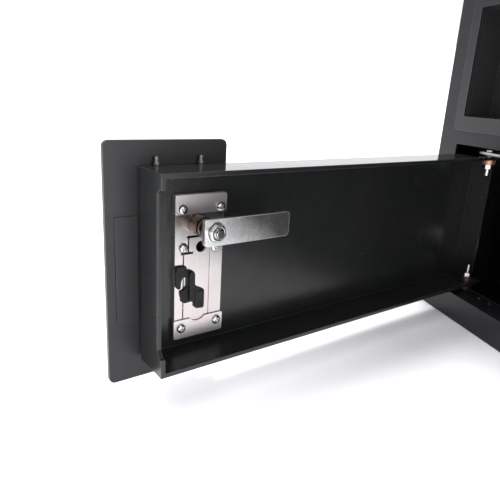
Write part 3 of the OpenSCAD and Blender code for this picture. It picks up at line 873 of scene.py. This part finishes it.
def change_slide():
    """Moulded slide: flat plate and raised blocks fused, with every corner rounded."""
    bm = bmesh.new()
    prism(bm, list(reversed(SLIDE)), 24.2, 25.5)
    for block, face_w in SLIDE_BLOCKS:
        prism(bm, rounded_rectangle(*block), face_w, 24.9)
    slide = make("slide_moulded", bm, PLASTIC, "change_slide_body")
    fuse = slide.modifiers.new("mould", "REMESH")
    fuse.mode = "VOXEL"
    fuse.voxel_size = 0.00022
    fuse.use_smooth_shade = True
    smooth = slide.modifiers.new("round", "SMOOTH")
    smooth.factor = 0.5
    smooth.iterations = 7
    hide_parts("change_slide")


change_slide()


# ------------------------------------------------------------------ floor
def studio_paper():
    """Pale paper whose glow hides the shade away from the box."""
    mat = Material("studio_paper")
    place = mat.coords()
    mat.feed("Base Color", mat.mix(
        mat.ramp(mat.noise(place, scale=3, detail=3), start=0.3, end=0.7),
        (0.84, 0.84, 0.86), (0.87, 0.87, 0.89)))
    mat.feed("Roughness", 0.7)
    mat.feed("Specular IOR Level", 0.2)
    mat.feed("Emission Color", (0.97, 0.97, 1.0))
    # the shade fades out with the distance from a point towards the hinge side
    shade_centre = Vector((-0.14, -0.10, 0.0))
    distance = mat.vector_math("DISTANCE", place, shade_centre)
    mat.feed("Emission Strength", mat.map_range(distance, from_min=0.08, from_max=0.45,
                                                to_min=0.10, to_max=1.0))
    return mat.material


def studio_floor():
    """Wide floor, a shallow dish whose rim lies past the horizon line."""
    # (radius, height) in metres, outwards from the centre
    stations = [(0.4, 0.0), (1.2, 0.0), (2.5, 0.0), (4.0, 0.06), (5.5, 0.30), (7.0, 0.9)]
    count = 64
    bm = bmesh.new()
    centre = bm.verts.new((0, 0, 0))
    rings = [add_ring(bm, radius, z, count, (0, 0)) for radius, z in stations]
    for i in range(count):
        bm.faces.new((centre, rings[0][i], rings[0][(i + 1) % count]))
    for inner, outer in zip(rings, rings[1:]):
        for i in range(count):
            j = (i + 1) % count
            bm.faces.new((inner[i], outer[i], outer[j], inner[j]))
    floor_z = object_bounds()[0].z
    floor = add_object("studio_floor", bm)
    for face in floor.data.polygons:
        face.use_smooth = True
    floor.location = (0, 0, floor_z - 0.0002)
    floor.data.materials.append(studio_paper())
    floor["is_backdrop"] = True


studio_floor()


# ------------------------------------------------------------------ lights
def area_light(name, place, target, size, power):
    light = bpy.data.lights.new(name, "AREA")
    light.shape = "RECTANGLE"
    light.size, light.size_y = size
    light.energy = power
    obj = bpy.data.objects.new(name, light)
    bpy.context.scene.collection.objects.link(obj)
    obj.location = place
    obj.rotation_mode = "QUATERNION"
    obj.rotation_quaternion = (Vector(target) - Vector(place)).to_track_quat("-Z", "Y")
    obj.visible_camera = False


area_light("key_over", place=(-0.62, -0.10, 1.65), target=(-0.07, -0.24, -0.05),
           size=(0.45, 0.45), power=24)
area_light("fill_top", place=(0.35, -0.75, 1.5), target=(0.0, -0.2, 0),
           size=(1.2, 1.2), power=10)
area_light("low_right", place=(0.50, -0.10, 0.10), target=(-0.05, -0.35, -0.05),
           size=(0.30, 0.20), power=0.4)


def studio_world():
    """Soft sky, bright beyond the box and dim in front of it; the camera sees plain white."""
    base_strength, back_gain, front_loss, seen_strength = 0.46, 2.2, 0.22, 1.05
    world = bpy.data.worlds.new("studio")
    bpy.context.scene.world = world
    world.use_nodes = True
    sky = Graph(world.node_tree)
    sky.tree.nodes.clear()
    output = sky.node("ShaderNodeOutputWorld")
    lighting = sky.node("ShaderNodeBackground", Color=(0.98, 0.98, 1.0, 1))
    seen = sky.node("ShaderNodeBackground", Color=(1, 1, 1, 1), Strength=seen_strength)
    chooser = sky.node("ShaderNodeMixShader")
    ray = sky.node("ShaderNodeLightPath")
    view = sky.node("ShaderNodeTexCoord").outputs["Generated"]

    def lobe(direction, stops):
        """Soft patch of sky: stops of (cosine from the direction, strength)."""
        cosine = sky.vector_math("DOT_PRODUCT", view, Vector(direction).normalized())
        return sky.curve(cosine, stops)

    back = lobe((-0.93, 0.28, 0.20), [(0.0, 0.0), (0.72, 0.10), (0.93, 0.85), (1.0, 1.0)])
    front = lobe((0.0, -1.0, 0.0), [(0.25, 0.0), (0.85, 1.0)])
    strength = sky.add(base_strength, sky.multiply(back, back_gain))
    strength = sky.subtract(strength, sky.multiply(front, front_loss))
    sky.plug(strength, lighting.inputs[1])
    sky.plug(ray.outputs["Is Camera Ray"], chooser.inputs[0])
    sky.plug(lighting.outputs[0], chooser.inputs[1])
    sky.plug(seen.outputs[0], chooser.inputs[2])
    sky.plug(chooser.outputs[0], output.inputs[0])


studio_world()

# ------------------------------------------------------------------ camera and view
camera = bpy.data.cameras.new("camera")
camera.sensor_width = 36.0
camera.lens = 36.473
camera.clip_start = 0.01
camera.clip_end = 20
camera_object = bpy.data.objects.new("camera", camera)
bpy.context.scene.collection.objects.link(camera_object)
camera_object.matrix_world = Matrix((
    (0.259782, 0.964122, 0.054615, 0),    # right
    (-0.301202, 0.027164, 0.953173, 0),   # up
    (0.917492, -0.264067, 0.297452, 0),   # back, away from the view
    (0.237106, -0.416570, 0.046588, 1),   # place
)).transposed()
bpy.context.scene.camera = camera_object
view_settings = bpy.context.scene.view_settings
view_settings.view_transform = "Standard"
view_settings.look = "None"
view_settings.exposure = 0.0
view_settings.gamma = 1.0
